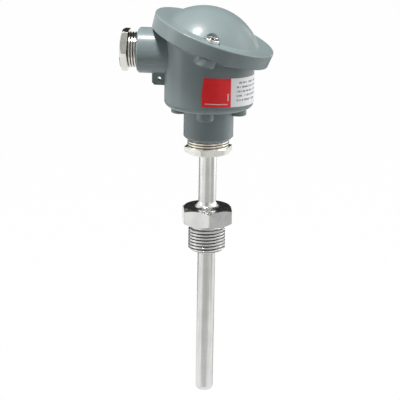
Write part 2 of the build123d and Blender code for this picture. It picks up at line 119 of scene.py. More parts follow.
# Gland screw, along the entry's axis
GLAND_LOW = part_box("gland_screw")[0]
GLAND_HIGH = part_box("gland_screw")[1]
GLAND_LENGTH = GLAND_HIGH.x - GLAND_LOW.x
GLAND_AXIS = (GLAND_LOW.z + GLAND_HIGH.z) / 2
GLAND_FLATS = 22.0 * MM
GLAND_HEX_HEIGHT = 4.1 * MM
GLAND_RADIUS = 10.0 * MM
GLAND_BORE = 6.5 * MM
GLAND_CHAMFER = 0.8 * MM

# Lid and its screws
LID_TILT = math.radians(18.7)
LID_ORIGIN = Vector((2.8, 0.0, 110.7)) * MM
LID_NORMAL = Vector((math.sin(LID_TILT), 0.0, math.cos(LID_TILT)))
LID_SLOPE = Vector((math.cos(LID_TILT), 0.0, -math.sin(LID_TILT)))
SCREW_OFFSET = 1.4 * MM
SCREW_REACH = 27.7 * MM
SCREW_LIFT = 0.05 * MM
SCREW_RADIUS = 2.5 * MM
SCREW_LENGTH = 11.95 * MM
SCREW_POINT_LENGTH = 0.5 * MM
SCREW_POINT_SHARE = 0.8

# Head of a lid screw: side, round edge and dome are shares of its height, the recess's reach of its crown
HEAD_RADIUS = 4.0 * MM
HEAD_HEIGHT = 2.6 * MM
HEAD_BREAK = 0.1 * MM
HEAD_CROWN = HEAD_RADIUS - 0.5 * MM
HEAD_SIDE = 0.45
HEAD_ROUND = 0.35
HEAD_DOME = 0.2
HEAD_ROUND_ROWS = 6
HEAD_DOME_ROWS = 30
RECESS_TURN = 0.6
RECESS_REACH = 0.78
RECESS_WALL = 0.22 * MM
RECESS_END = 0.5 * MM

# Label
BOWL_RADIUS = 25.0 * MM
LABEL_THICKNESS = 0.15 * MM
LABEL_RADIUS = BOWL_RADIUS + LABEL_THICKNESS
LABEL_GAP = 0.02 * MM
LABEL_HEIGHT = 16.1 * MM
LABEL_CENTRE = 80.3 * MM
LABEL_START = math.radians(-2.6)
LABEL_SWEEP = math.radians(115.6)
LABEL_SKEW = math.radians(3.3)
LABEL_FACING = LABEL_START + LABEL_SWEEP / 2
LABEL_COLUMNS = 97
LABEL_ROWS = 25

# Print on the label: left, right, low and high of each field, as shares of the film
RED_END = 0.325
LOW_BAR = (0.035, 0.29, 0.085, 0.115)
SIDE_BAR = (0.285, 0.3, 0.22, 0.48)
GREY_BARS = (0.4, 0.93, 0.12, 0.9)
BAR_ROWS = 6.6
BAR_ROW_START = 0.05
BAR_LOW = 0.34
BAR_HIGH = 0.76
BAR_CELLS = 88.0
BAR_GAPS = 0.32
BAR_PATTERN = 7.0

# Insert springs
SPRING_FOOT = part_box("insert_springs")[0].z
SPRING_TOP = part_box("insert_springs")[1].z
SPRING_PLACES = ((0.0, -16.5 * MM), (0.0, 16.5 * MM))
SPRING_COIL = 3.0 * MM
SPRING_END_RISE = 0.07
SPRING_STEPS = 28
SPRING_SIDES = 12

# Painted shade deep in each thread's groove: its tone, and how much of it shows
GROOVE_SHADE_SHARE = 0.9
STEEL_GROOVE_SHADE = (0.09, 0.085, 0.07)
NECK_GROOVE_SHADE = (0.3, 0.22, 0.12)
GLAND_GROOVE_SHADE = (0.12, 0.09, 0.05)
STEEL_GROOVE_SHADE_DEPTH = 0.35

# Three axes that a turned piece can stand in: where its own x, y and turning axis point
UPRIGHT = ((1.0, 0.0, 0.0), (0.0, 1.0, 0.0), (0.0, 0.0, 1.0))
ALONG_ENTRY = ((0.0, -1.0, 0.0), (0.0, 0.0, -1.0), (1.0, 0.0, 0.0))
ON_LID = (tuple(LID_SLOPE), (0.0, 1.0, 0.0), tuple(LID_NORMAL))

# Camera, as fitted to the photograph's 400 pixels
PICTURE_WIDTH = 400.0
CAMERA_DISTANCE = 1.2
CAMERA_HEIGHT = 0.3507
CAMERA_AZIMUTH = math.radians(6.5)
CAMERA_PITCH = math.radians(15.6)
CAMERA_ROLL = math.radians(-0.98)
FOCAL_PIXELS = 2202.0
PRINCIPAL_X = 207.27
PRINCIPAL_Y = 196.26
SENSOR_WIDTH = 36.0

# Studio surround
SEEN_RAYS = ("Is Camera Ray", "Is Glossy Ray", "Is Transmission Ray")
WORLD_LIGHT = 0.3
FLOOR_GREY = 0.85
FLOOR_WHITE = 0.985
FLOOR_PLACE = (0.0, 0.6, -0.3)
FLOOR_SIZE = (6.0, 6.0)
CARD_GREY = 0.03
LAMP_TARGET = Vector((0.0, 0.0, 0.05))

# Lamps: name, shape, place, size and share of the key lamp's power
LAMPS = (
    ("key", "DISK", (-0.2, -0.27, 1.3), (0.26, 0.26), 1.0),
    ("right", "RECTANGLE", (1.15, 0.6, 0.0), (1.1, 0.6), 0.08),
    ("right_high", "RECTANGLE", (1.25, 0.05, 0.62), (1.4, 0.7), 0.3),
    ("strip", "RECTANGLE", (0.62, 1.2, 0.3), (0.07, 0.5), 0.03),
    ("left", "RECTANGLE", (-1.3, -0.25, 0.25), (0.5, 1.0), 0.16),
)

# Cards that only mirrors show: name, centre, size, the point each faces, and its brightness there
CARDS = (
    ("card_low", (0.12, -1.4, -0.299), (1.25, 1.9), (0.12, -1.4, 1.0), 0.6),
    ("card_right", (1.3, -0.4, -0.299), (1.0, 1.1), (1.3, -0.4, 1.0), 0.5),
    ("card_front", (0.0, -2.4, 1.9), (2.0, 4.4), (0.0, 0.0, 1.9), 0.42),
    ("card_back_right", (0.31, 1.0, -0.298), (0.2, 1.1), (0.31, 1.0, 1.0), 0.08),
    ("card_back_left", (-0.75, 1.0, -0.298), (0.5, 1.1), (-0.75, 1.0, 1.0), 0.08),
    ("card_behind", (0.0, 1.6, 0.75), (2.4, 1.3), (0.0, 0.0, 0.75), 0.03),
    ("card_over", (0.0, 0.85, 1.5), (2.4, 1.3), (0.0, 0.0, 0.0), 0.05),
)


class Value:
    """A number that varies over a surface: expressions on it add Math nodes to its material."""

    def __init__(self, tree, socket):
        self.tree = tree
        self.socket = socket

    def _math(self, operation, *operands):
        """Math node on these operands, each a value or a plain number."""
        node = self.tree.nodes.new("ShaderNodeMath")
        node.operation = operation
        for place, operand in zip(node.inputs, operands):
            if isinstance(operand, Value):
                self.tree.links.new(operand.socket, place)
            else:
                place.default_value = operand
        return Value(self.tree, node.outputs[0])

    def __add__(self, other):
        return self._math("ADD", self, other)

    def __radd__(self, other):
        return self._math("ADD", other, self)

    def __sub__(self, other):
        return self._math("SUBTRACT", self, other)

    def __rsub__(self, other):
        return self._math("SUBTRACT", other, self)

    def __mul__(self, other):
        return self._math("MULTIPLY", self, other)

    def __rmul__(self, other):
        return self._math("MULTIPLY", other, self)

    def __mod__(self, other):
        return self._math("FLOORED_MODULO", self, other)

    def __rmod__(self, other):
        return self._math("FLOORED_MODULO", other, self)

    def __gt__(self, other):
        return self._math("GREATER_THAN", self, other)

    def __lt__(self, other):
        return self._math("LESS_THAN", self, other)

    def floor(self):
        """Whole number below the value."""
        return self._math("FLOOR", self)

    def largest(self, other):
        """The larger of two values."""
        return self._math("MAXIMUM", self, other)


class Nodes:
    """The nodes of one material or world, every one but the maths added by the method node."""

    def __init__(self, tree):
        self.tree = tree
        self.tree.nodes.clear()

    def node(self, kind, settings=None, inputs=None, output=0):
        """Add a node: its settings first, then the values or links of its sockets. Gives one output."""
        made = self.tree.nodes.new(kind)
        for key, value in (settings or {}).items():
            setattr(made, key, value)
        for key, value in (inputs or {}).items():
            if isinstance(value, Value):
                self.tree.links.new(value.socket, made.inputs[key])
            else:
                made.inputs[key].default_value = value
        return Value(self.tree, made.outputs[output]) if made.outputs else None

    def parts(self, vector):
        """The three numbers of a vector."""
        first = self.node("ShaderNodeSeparateXYZ", {}, {0: vector})
        return [Value(self.tree, socket) for socket in first.socket.node.outputs]

    def rays(self, first, *others):
        """Mask of the light that comes by any of these kinds of ray."""
        seen = self.node("ShaderNodeLightPath", output=first)
        for name in others:
            seen = seen.largest(self.node("ShaderNodeLightPath", output=name))
        return seen


class Finish(Nodes):
    """One material, made from node calls and Value expressions."""

    def __init__(self, name):
        self.material = bpy.data.materials.new(name)
        self.material.use_nodes = True
        super().__init__(self.material.node_tree)

    def place(self, stretch=(1.0, 1.0, 1.0)):
        """Object coordinates in metres, stretched along the axes."""
        point = self.node("ShaderNodeTexCoord", output="Object")
        return self.node("ShaderNodeMapping", {}, {"Vector": point, "Scale": stretch})

    def groove_shade(self, axis, centre, low, high, inner, outer):
        """Mask of painted shade in a thread's groove: 1 at the inner radius round an axis, 0 at the outer
        one.
        """
        spots = self.parts(self.node("ShaderNodeTexCoord", output="Object"))
        along = spots.pop(axis)
        first, second = spots[0] - centre[0], spots[1] - centre[1]
        reach = first * first + second * second
        return self.ramp(reach, inner**2, outer**2, 1.0, 0.0) * (along > low) * (along < high)

    def noise(self, vector, scale, detail=3.0):
        """Smooth noise from 0 to 1."""
        return self.node("ShaderNodeTexNoise", {}, {"Vector": vector, "Scale": scale, "Detail": detail})

    def ramp(self, value, low, high, start=0.0, end=1.0):
        """Smooth step of a value from one range to another."""
        inputs = {"Value": value, "From Min": low, "From Max": high, "To Min": start, "To Max": end}
        return self.node("ShaderNodeMapRange", {"interpolation_type": "SMOOTHSTEP"}, inputs)

    def mix(self, factor, first, second):
        """Blend of two colours."""
        return self.node("ShaderNodeMix", {"data_type": "RGBA"}, {0: factor, 6: first, 7: second}, output=2)

    def bump(self, height, distance, strength):
        """Normal from a height that is given from 0 to 1, over this distance in metres."""
        return self.node("ShaderNodeBump", {}, {"Height": height, "Distance": distance, "Strength": strength})

    def shader(self, **inputs):
        """Principled shader and output: names of its sockets with underscores for spaces."""
        named = {key.replace("_", " "): value for key, value in inputs.items()}
        surface = self.node("ShaderNodeBsdfPrincipled", {}, named, output="BSDF")
        self.node("ShaderNodeOutputMaterial", {}, {"Surface": surface})
        return self.material

    def glowing(self, seen, matt, glow):
        """Matt grey surface that shows a brightness of its own where the mask is 1."""
        surface = self.node("ShaderNodeBsdfDiffuse", {}, {"Color": grey(matt)})
        light = self.node("ShaderNodeEmission", {}, {"Color": grey(glow), "Strength": 1.0})
        blend = self.node("ShaderNodeMixShader", {}, {0: seen, 1: surface, 2: light})
        self.node("ShaderNodeOutputMaterial", {}, {"Surface": blend})
        return self.material


def rgb(colour, share=1.0):
    """Colour of a property as a socket's four numbers, made lighter or darker."""
    return (*(min(1.0, channel * share) for channel in colour), 1.0)


def grey(level):
    """Neutral colour as a socket's four numbers."""
    return (level, level, level, 1.0)


def paint_finish(colours):
    """Glossy enamel on a casting: slight orange peel, faint clouding, fine specks and a clear top."""
    finish = Finish("head_enamel")
    place = finish.place()
    clouds = finish.noise(place, scale=45.0, detail=4.0)
    peel = finish.noise(place, scale=700.0, detail=2.0)
    specks = finish.noise(place, scale=2600.0, detail=2.0)
    colour = finish.mix(finish.ramp(clouds, 0.3, 0.7), rgb(colours.paint, 0.95), rgb(colours.paint, 1.05))
    return finish.shader(
        Base_Color=finish.mix(finish.ramp(specks, 0.62, 0.75, 0.0, 0.25), colour, rgb(colours.paint, 1.25)),
        Roughness=finish.ramp(clouds, 0.2, 0.8, 0.34, 0.42),
        Specular_IOR_Level=0.3,
        Coat_Weight=0.14,
        Coat_Roughness=0.12,
        Normal=finish.bump(peel * 0.8 + specks * 0.2, distance=0.04 * MM, strength=0.14),
    )


def tube_finish(colours):
    """Ground stainless tube: fine rings round it, soft streaks along it, stains and small pits."""
    finish = Finish("stem_steel")
    lines = finish.noise(finish.place((60.0, 60.0, 9000.0)), scale=1.0)
    streaks = finish.noise(finish.place((900.0, 900.0, 45.0)), scale=1.0)
    pits = finish.noise(finish.place(), scale=1500.0)
    stain = finish.noise(finish.place(), scale=90.0)
    tone = finish.ramp(streaks * 0.5 + stain * 0.5, 0.35, 0.65)
    grind = lines * 0.6 + pits * 0.4
    return finish.shader(
        Base_Color=finish.mix(tone, rgb(colours.steel, 0.93), rgb(colours.steel, 1.07)),
        Metallic=1.0,
        Roughness=finish.ramp(grind, 0.3, 0.7, 0.14, 0.24),
        Normal=finish.bump(grind, distance=0.01 * MM, strength=0.3),
    )


def turned_finish(name, colour, roughness, warm=None, thread=None, dark=STEEL_GROOVE_SHADE):
    """Machined metal: a fine grain, a little clouding, a second tone in patches, and painted shade deep in a
    thread's groove.
    """
    finish = Finish(name)
    grain = finish.noise(finish.place(), scale=1500.0, detail=4.0)
    clouds = finish.noise(finish.place(), scale=160.0)
    tone = finish.ramp(clouds, 0.35, 0.65)
    base = finish.mix(tone, rgb(colour, 0.92), rgb(warm or colour, 1.04))
    if thread:
        # Painted shade: the colour darkens towards the dark tone deep in the thread's groove, most at its
        # root
        base = finish.mix(finish.groove_shade(**thread) * GROOVE_SHADE_SHARE, base, rgb(dark))
    return finish.shader(
        Base_Color=base,
        Metallic=1.0,
        Roughness=finish.ramp(grain, 0.3, 0.7, roughness * 0.75, roughness * 1.25),
        Normal=finish.bump(grain, distance=0.01 * MM, strength=0.4),
    )


def rubber_finish(colours):
    """Matt black rubber with a fine grain."""
    finish = Finish("seal_rubber")
    grain = finish.noise(finish.place(), scale=2500.0)
    return finish.shader(
        Base_Color=finish.mix(grain, rgb(colours.rubber, 0.8), rgb(colours.rubber, 1.4)),
        Roughness=finish.ramp(grain, 0.3, 0.7, 0.6, 0.8),
        Normal=finish.bump(grain, distance=0.03 * MM, strength=0.6),
    )


def ceramic_finish(colours):
    """Unglazed pressed ceramic with pores and a faint tint."""
    finish = Finish("block_ceramic")
    pores = finish.noise(finish.place(), scale=1800.0, detail=4.0)
    clouds = finish.noise(finish.place(), scale=120.0)
    tone = finish.ramp(clouds, 0.35, 0.65)
    return finish.shader(
        Base_Color=finish.mix(tone, rgb(colours.ceramic, 0.94), rgb(colours.ceramic)),
        Roughness=finish.ramp(pores, 0.3, 0.7, 0.45, 0.7),
        Normal=finish.bump(pores, distance=0.04 * MM, strength=0.5),
    )


def wire_finish(colours):
    """Smooth sleeve of a lead wire, with a faint weave."""
    finish = Finish("lead_sleeve")
    weave = finish.noise(finish.place(), scale=3000.0, detail=2.0)
    return finish.shader(
        Base_Color=finish.mix(weave, rgb(colours.sleeve, 0.9), rgb(colours.sleeve)),
        Roughness=finish.ramp(weave, 0.3, 0.7, 0.4, 0.55),
        Normal=finish.bump(weave, distance=0.02 * MM, strength=0.4),
    )


def field(along, up, left, right, low, high):
    """Mask of a rectangle on the label film."""
    return (along > left) * (along < right) * (up > low) * (up < high)


def label_finish(colours):
    """Printed film: a red field with two pale bars, and a white field with rows of short grey bars."""
    finish = Finish("label_print")
    along, up = finish.parts(finish.node("ShaderNodeTexCoord", output="UV"))[:2]
    rows = up * BAR_ROWS + BAR_ROW_START
    in_row = ((rows % 1.0) > BAR_LOW) * ((rows % 1.0) < BAR_HIGH)
    cell = {0: (along * BAR_CELLS).floor(), 1: rows.floor(), 2: BAR_PATTERN}
    spot = finish.node("ShaderNodeCombineXYZ", {}, cell)
    chance = finish.node("ShaderNodeTexWhiteNoise", {"noise_dimensions": "3D"}, {"Vector": spot})
    grey_bars = (chance > BAR_GAPS) * in_row * field(along, up, *GREY_BARS)
    pale_bars = field(along, up, *LOW_BAR).largest(field(along, up, *SIDE_BAR))
    grain = finish.noise(finish.place(), scale=2500.0, detail=2.0)
    fade = finish.noise(finish.place(), scale=300.0)
    worn = finish.ramp(fade, 0.3, 0.7)
    red_film = finish.mix(worn, rgb(colours.label_red, 0.93), rgb(colours.label_red, 1.05))
    white_film = finish.mix(worn, rgb(colours.label_white, 0.97), rgb(colours.label_white))
    ink = finish.mix(grain, rgb(colours.label_ink, 0.8), rgb(colours.label_ink, 1.3))
    red_part = finish.mix(pale_bars * 0.75, red_film, rgb(colours.label_white))
    white_part = finish.mix(grey_bars * 0.8, white_film, ink)
    return finish.shader(
        Base_Color=finish.mix(along < RED_END, white_part, red_part),
        Roughness=finish.ramp(fade, 0.3, 0.7, 0.34, 0.42),
        Normal=finish.bump(grain, distance=0.01 * MM, strength=0.2),
    )


def dress(name, material):
    """Give a CAD node its finish."""
    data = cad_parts[name].data
    data.materials.clear()
    data.materials.append(material)


def hand_over(piece, body, node):
    """Let a piece ride on its body and stand for its node."""
    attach(piece, body)
    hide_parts(node)


def mesh_piece(name, points, faces, material, caps=()):
    """Object of one closed mesh at the origin: doubles merged, normals outwards, smooth up to an angle."""
    mesh = bpy.data.meshes.new(name)
    mesh.from_pydata(points.reshape(-1, 3).tolist(), [], [*faces.tolist(), *(list(cap) for cap in caps)])
    shape = bmesh.new()
    shape.from_mesh(mesh)
    bmesh.ops.remove_doubles(shape, verts=shape.verts, dist=MERGE_DISTANCE)
    bmesh.ops.recalc_face_normals(shape, faces=shape.faces)
    shape.to_mesh(mesh)
    shape.free()
    mesh.shade_smooth()
    mesh.set_sharp_from_angle(angle=SMOOTH_ANGLE)
    mesh.materials.append(material)
    piece = bpy.data.objects.new(name, mesh)
    bpy.context.scene.collection.objects.link(piece)
    return piece


def soften(mesh, axis, low, high):
    """Take the sharp mark off every edge whose two ends lie between two heights along an axis."""
    spots = np.empty(len(mesh.vertices) * 3)
    mesh.vertices.foreach_get("co", spots)
    along = spots.reshape(-1, 3) @ np.array(axis)
    ends = np.empty(len(mesh.edges) * 2, dtype=np.int32)
    mesh.edges.foreach_get("vertices", ends)
    between = ((along > low) & (along < high))[ends.reshape(-1, 2)].all(axis=1)
    marks = mesh.attributes.get("sharp_edge")
    if marks:
        sharp = np.empty(len(mesh.edges), dtype=bool)
        marks.data.foreach_get("value", sharp)
        marks.data.foreach_set("value", sharp & ~between)


def grid_faces(rows, columns, wrap_rows, wrap_columns):
    """Quads of a grid of points: each joins a point to the next in its row and to both in the next row.

    Where the grid wraps, the last row or column is joined to the first.
    """
    down = np.arange(rows if wrap_rows else rows - 1)
    across = np.arange(columns if wrap_columns else columns - 1)
    first, second = np.meshgrid(down, across, indexing="ij")
    below, beside = (first + 1) % rows, (second + 1) % columns
    first, below = first * columns, below * columns
    quads = (first + second, first + beside, below + beside, below + second)
    return np.stack(quads, axis=-1).reshape(-1, 4)


def angles(sides, turn=0.0):
    """Angles round a turned piece: even steps of a full turn, from a first angle."""
    return np.linspace(0, 2 * math.pi, sides, endpoint=False) + turn


def turned_rows(radius, height, angle):
    """Rows of a turned grid: a radius and a height, given once, by row or by point, for every angle."""
    radius, height, _ = np.broadcast_arrays(np.atleast_2d(radius), np.atleast_2d(height), angle[None, :])
    return radius, height


def rings(angle, *places):
    """Flat rows of a turned grid: one row at each pair of radius and height."""
    radius, height = np.array(places).T[:, :, None]
    return turned_rows(radius, height, angle)


def turned_piece(name, blocks, angle, material, origin=(0.0, 0.0, 0.0), axes=UPRIGHT, closed=True):
    """Turned surface: each point is its radius times the cosine and the sine of its angle, at its height.

    The three numbers run along the three axes, from the origin. A closed profile joins its last row to its
    first.
    """
    radius = np.concatenate([block[0] for block in blocks])
    height = np.concatenate([block[1] for block in blocks])
    local = np.stack([radius * np.cos(angle), radius * np.sin(angle), height], axis=-1)
    points = local @ np.array(axes) + np.array(origin)
    return mesh_piece(name, points, grid_faces(*radius.shape, closed, True), material)


def hexagon_reach(angle, flats, turn):
    """Distance to a hexagon's side: half the flats over the power mean of the cosines to its six normals."""
    normals = turn + math.radians(30) + np.arange(6)[:, None] * math.radians(60)
    lean = np.clip(np.cos(angle[None, :] - normals), 0.0, 1.0)
    return flats / 2 / np.sum(lean**HEX_SHARPNESS, axis=0) ** (1.0 / HEX_SHARPNESS)


def hex_rows(angle, flats, turn, low, height, high_chamfer=True):
    """Rows up a hexagon: a row on a side drops by its reach past the face, times the chamfer's tangent."""
    reach = hexagon_reach(angle, flats, turn)
    face = flats / 2 * HEX_FACE_SHARE
    drop = (reach - face) * math.tan(HEX_CHAMFER)
    blocks = [turned_rows(face, low, angle), turned_rows(reach, low + drop, angle)]
    if high_chamfer:
        blocks.append(turned_rows(reach, low + height - drop, angle))
        blocks.append(turned_rows(face, low + height, angle))
    else:
        blocks.append(turned_rows(reach, low + height, angle))
    return blocks


def thread_reach(angle, height, radius, pitch, depth):
    """Radius on a right-hand thread: a rounded wave of the height over the pitch less the turn."""
    phase = (height / pitch - angle / (2 * math.pi)) % 1.0
    wave = 1.0 - np.abs(2.0 * phase - 1.0)
    wave = np.clip((wave - THREAD_ROOT_SHARE) / THREAD_FLANK_SHARE, 0.0, 1.0)
    return radius - depth * (1.0 - wave * wave * (3.0 - 2.0 * wave))


def thread_rows(angle, low, high, radius, pitch, depth, high_chamfer, low_chamfer=0.0):
    """Rows up a thread: the least of the thread's reach and of a 45 degree cone at each chamfered end."""
    height = np.linspace(low, high, int((high - low) / pitch * THREAD_ROWS_PER_PITCH))[:, None]
    reach = thread_reach(angle, height, radius, pitch, depth)
    reach = np.minimum(reach, radius - high_chamfer + (high - height))
    if low_chamfer:
        reach = np.minimum(reach, radius - low_chamfer + (height - low))
    return turned_rows(reach, height, angle)


def weld_ripple(angle, reach, waves, size):
    """Weld bead: its reach plus a small size times the absolute sine of half the waves round it."""
    return reach + size * np.abs(np.sin(angle * waves / 2))


def low_weld_rows(angle):
    """Weld below the thread: from the tube out to its own radius as the sine of its height, with a ripple."""
    share = np.linspace(WELD_FIRST_ROW, 1.0, WELD_ROWS)[:, None]
    reach = TUBE_RADIUS + (WELD_RADIUS - TUBE_RADIUS) * np.sin(share * math.pi / 2)
    height = WELD_LOW + (PROCESS_BOTTOM - WELD_LOW) * share
    return turned_rows(weld_ripple(angle, reach, WELD_WAVES, WELD_RIPPLE), height, angle)


def fillet_rows(angle):
    """Weld fillet above the hexagon: in to the tube as a power of the height left, its ripple fading out."""
    share = np.linspace(0.0, 1.0, FILLET_ROWS)[:, None]
    reach = TUBE_RADIUS + (FILLET_RADIUS - TUBE_RADIUS) * (1 - share) ** FILLET_POWER
    height = PROCESS_HEX_HEIGHT + FILLET_HEIGHT * share
    return turned_rows(weld_ripple(angle, reach, FILLET_WAVES, FILLET_RIPPLE * (1 - share)), height, angle)


def lid_screw_rows(angle, sizes):
    """Profile of a lid screw, from its point to the middle of its head.

    The head's edge is part of an ellipse. Its top is a dome that drops with the square of its radius, less a
    cross: deep where the lesser distance to the cross's two middle lines is below half an arm's width, and
    sloping out at the arms' walls and ends.
    """
    shank = rings(
        angle,
        (0.0, -SCREW_LENGTH),
        (SCREW_RADIUS * SCREW_POINT_SHARE, -SCREW_LENGTH),
        (SCREW_RADIUS, -SCREW_LENGTH + SCREW_POINT_LENGTH),
        (SCREW_RADIUS, 0.0),
        (HEAD_RADIUS - HEAD_BREAK, 0.0),
        (HEAD_RADIUS, HEAD_BREAK),
        (HEAD_RADIUS, HEAD_HEIGHT * HEAD_SIDE),
    )
    turn = np.linspace(0.25, 1.0, HEAD_ROUND_ROWS)[:, None] * math.pi / 2
    edge = turned_rows(HEAD_CROWN + (HEAD_RADIUS - HEAD_CROWN) * np.cos(turn),
                       HEAD_HEIGHT * (HEAD_SIDE + HEAD_ROUND * np.sin(turn)), angle)
    share = np.linspace(0.0, 1.0, HEAD_DOME_ROWS)[-2:0:-1, None]
    reach = HEAD_CROWN * share
    dome = HEAD_HEIGHT * (1 - HEAD_DOME + HEAD_DOME * (1 - share * share))
    arm = reach * np.minimum(np.abs(np.cos(angle - RECESS_TURN)), np.abs(np.sin(angle - RECESS_TURN)))
    wall = np.clip((sizes.recess_width / 2 - arm) / RECESS_WALL, 0.0, 1.0)
    end = np.clip((RECESS_REACH * HEAD_CROWN - reach) / RECESS_END, 0.0, 1.0)
    crown = turned_rows(reach, dome - sizes.recess_depth * wall * end, angle)
    return [shank, edge, crown, rings(angle, (0.0, HEAD_HEIGHT - sizes.recess_depth))]


def label_film():
    """Label film: a flat rectangle laid on the bowl, in two layers that a rim joins.

    The rectangle is skewed in its plane, its columns stand at even turns, and a point's turn from the film's
    middle is the arc sine of its sideways distance over the film's radius. Gives the points and the faces.
    """
    span = 2 * LABEL_RADIUS * math.sin(LABEL_SWEEP / 2)
    share = np.sin(np.linspace(-1, 1, LABEL_COLUMNS) * LABEL_SWEEP / 2) / math.sin(LABEL_SWEEP / 2)
    across, up = np.meshgrid(share * span / 2, np.linspace(-0.5, 0.5, LABEL_ROWS) * LABEL_HEIGHT)
    sideways = across * math.cos(LABEL_SKEW) + up * math.sin(LABEL_SKEW)
    height = LABEL_CENTRE + up * math.cos(LABEL_SKEW) - across * math.sin(LABEL_SKEW)
    turn = LABEL_FACING + np.arcsin(np.clip(sideways, -span / 2, span / 2) / LABEL_RADIUS)
    layers = [np.stack([radius * np.sin(turn), -radius * np.cos(turn), height], axis=-1).reshape(-1, 3)
              for radius in (LABEL_RADIUS, BOWL_RADIUS + LABEL_GAP)]
    front = grid_faces(LABEL_ROWS, LABEL_COLUMNS, False, False)
    count = LABEL_ROWS * LABEL_COLUMNS
    index = np.arange(count).reshape(LABEL_ROWS, LABEL_COLUMNS)
    loop = np.concatenate([index[0], index[1:, -1], index[-1, -2::-1], index[-2:0:-1, 0]])
    after = np.roll(loop, -1)
    rim = np.stack([loop, after, after + count, loop + count], axis=-1)
    return np.concatenate(layers), np.concatenate([front, front[:, ::-1] + count, rim])


def chart_label(mesh):
    """UV of the film: the turn from its start over its sweep, and the height over its own, less the skew."""
    corners = np.empty(len(mesh.loops), dtype=np.int32)
    mesh.loops.foreach_get("vertex_index", corners)
    spots = np.empty(len(mesh.vertices) * 3)
    mesh.vertices.foreach_get("co", spots)
    x, y, z = spots.reshape(-1, 3).T
    turn = np.arctan2(x, -y)
    along = (turn - LABEL_START) / LABEL_SWEEP
    lean = np.sin(turn - LABEL_FACING) * LABEL_RADIUS * math.sin(LABEL_SKEW)
    rise = (z - LABEL_CENTRE + lean) / LABEL_HEIGHT + 0.5
    chart = mesh.uv_layers.new(name="film")
    chart.data.foreach_set("uv", np.stack([along, rise], axis=-1)[corners].ravel())


def spring_coils(sizes):
    """Two coils: a small circle carried along a helix whose first and last turns lie close.

    A point's reach is the coil's radius plus the wire's radius times the cosine round the wire. Its height is
    the helix's plus the wire's radius times the sine. Gives the points, the faces and the end caps.
    """
    wire = sizes.spring_wire / 2
    turn = np.linspace(0, sizes.spring_turns * 2 * math.pi, sizes.spring_turns * SPRING_STEPS)
    closed = 1.0 / sizes.spring_turns
    rises = [0.0, SPRING_END_RISE, 1.0 - SPRING_END_RISE, 1.0]
    rise = np.interp(turn / turn[-1], [0.0, closed, 1.0 - closed, 1.0], rises)
    height = SPRING_FOOT + wire + rise * (SPRING_TOP - SPRING_FOOT - 2 * wire)
    around = angles(SPRING_SIDES)
    reach = SPRING_COIL + wire * np.cos(around)
    coil = np.stack([
        reach * np.cos(turn)[:, None],
        reach * np.sin(turn)[:, None],
        height[:, None] + wire * np.sin(around),
    ], axis=-1).reshape(-1, 3)
    faces = grid_faces(len(turn), SPRING_SIDES, False, True)
    first = np.arange(SPRING_SIDES)
    starts = [number * len(coil) for number in range(len(SPRING_PLACES))]
    points = np.concatenate([coil + (*place, 0.0) for place in SPRING_PLACES])
    caps = [first + start + end for start in starts for end in (0, len(coil) - SPRING_SIDES)]
    return points, np.concatenate([faces + start for start in starts]), caps


def colour_property(name, description, default):
    """Colour that a user can change."""
    return FloatVectorProperty(name=name, description=description, subtype="COLOR", size=3, min=0.0, max=1.0,
                               default=default)


def length_property(name, description, default, least=0.0):
    """Length that a user can change, in metres."""
    return FloatProperty(name=name, description=description, unit="LENGTH", precision=6, min=least,
                         default=default)


class ProbeColours(bpy.types.PropertyGroup):
    """Colours of the probe's finishes."""

    paint: colour_property("Enamel", "Enamel of the head and the lid", (0.2, 0.245, 0.25))
    steel: colour_property("Steel", "Stem, process connection, plate and springs", (0.72, 0.725, 0.71))
    nickel: colour_property("Nickel", "Plating of the neck, the gland and the lid screws", (0.76, 0.76, 0.71))
    brass: colour_property("Brass", "Brass of the terminals", (0.72, 0.56, 0.3))
    rubber: colour_property("Rubber", "Gland seal and lid gasket", (0.03, 0.03, 0.03))
    ceramic: colour_property("Ceramic", "Terminal block", (0.82, 0.8, 0.74))
    sleeve: colour_property("Sleeve", "Lead wires", (0.8, 0.8, 0.76))
    label_red: colour_property("Red field", "Left field of the label", (0.95, 0.014, 0.02))
    label_white: colour_property("White field", "Right field of the label", (0.95, 0.95, 0.96))
    label_ink: colour_property("Ink", "Bars on the white field", (0.13, 0.13, 0.14))


class ProbeSizes(bpy.types.PropertyGroup):
    """Sizes of the fine forms that are worked out here."""

    process_pitch: length_property("Process pitch", "Pitch of the process thread", 1.814 * MM, least=0.5 * MM)
    process_depth: length_property("Process depth", "Depth of the process thread", 1.162 * MM, least=0.1 * MM)
    fine_pitch: length_property("Fine pitch", "Pitch of the gland and neck threads", 1.5 * MM, least=0.5 * MM)
    fine_depth: length_property("Fine depth", "Depth of the gland and neck threads", 0.9 * MM, least=0.1 * MM)
    recess_depth: length_property("Recess depth", "Depth of the cross in a lid screw", 1.5 * MM)
    recess_width: length_property("Recess width", "Width of the cross's arms", 1.1 * MM)
    spring_wire: length_property("Spring wire", "Wire of the insert springs", 0.7 * MM, least=0.1 * MM)
    spring_turns: IntProperty(name="Spring turns", description="Turns of each insert spring", min=2,
                              default=7)
    key_power: FloatProperty(name="Key lamp", description="Power of the key lamp overhead", subtype="POWER",
                             min=0.0, default=24.0)


class PROBE_OT_castings(bpy.types.Operator):
    """Enamel on the head and the lid"""

    bl_idname = "probe.castings"
    bl_label = "Paint castings"

    def execute(self, context):
        enamel = paint_finish(context.scene.probe_colours)
        for name in ("head_body", "head_entry", "lid"):
            dress(name, enamel)
        return {"FINISHED"}


class PROBE_OT_stem(bpy.types.Operator):
    """Ground steel on both tubes, the tip and the insert's sheath"""

    bl_idname = "probe.stem"
    bl_label = "Finish stem"

    def execute(self, context):
        steel = tube_finish(context.scene.probe_colours)
        for name in ("protection_tube", "extension_tube", "tube_tip", "insert_sheath"):
            dress(name, steel)
        return {"FINISHED"}


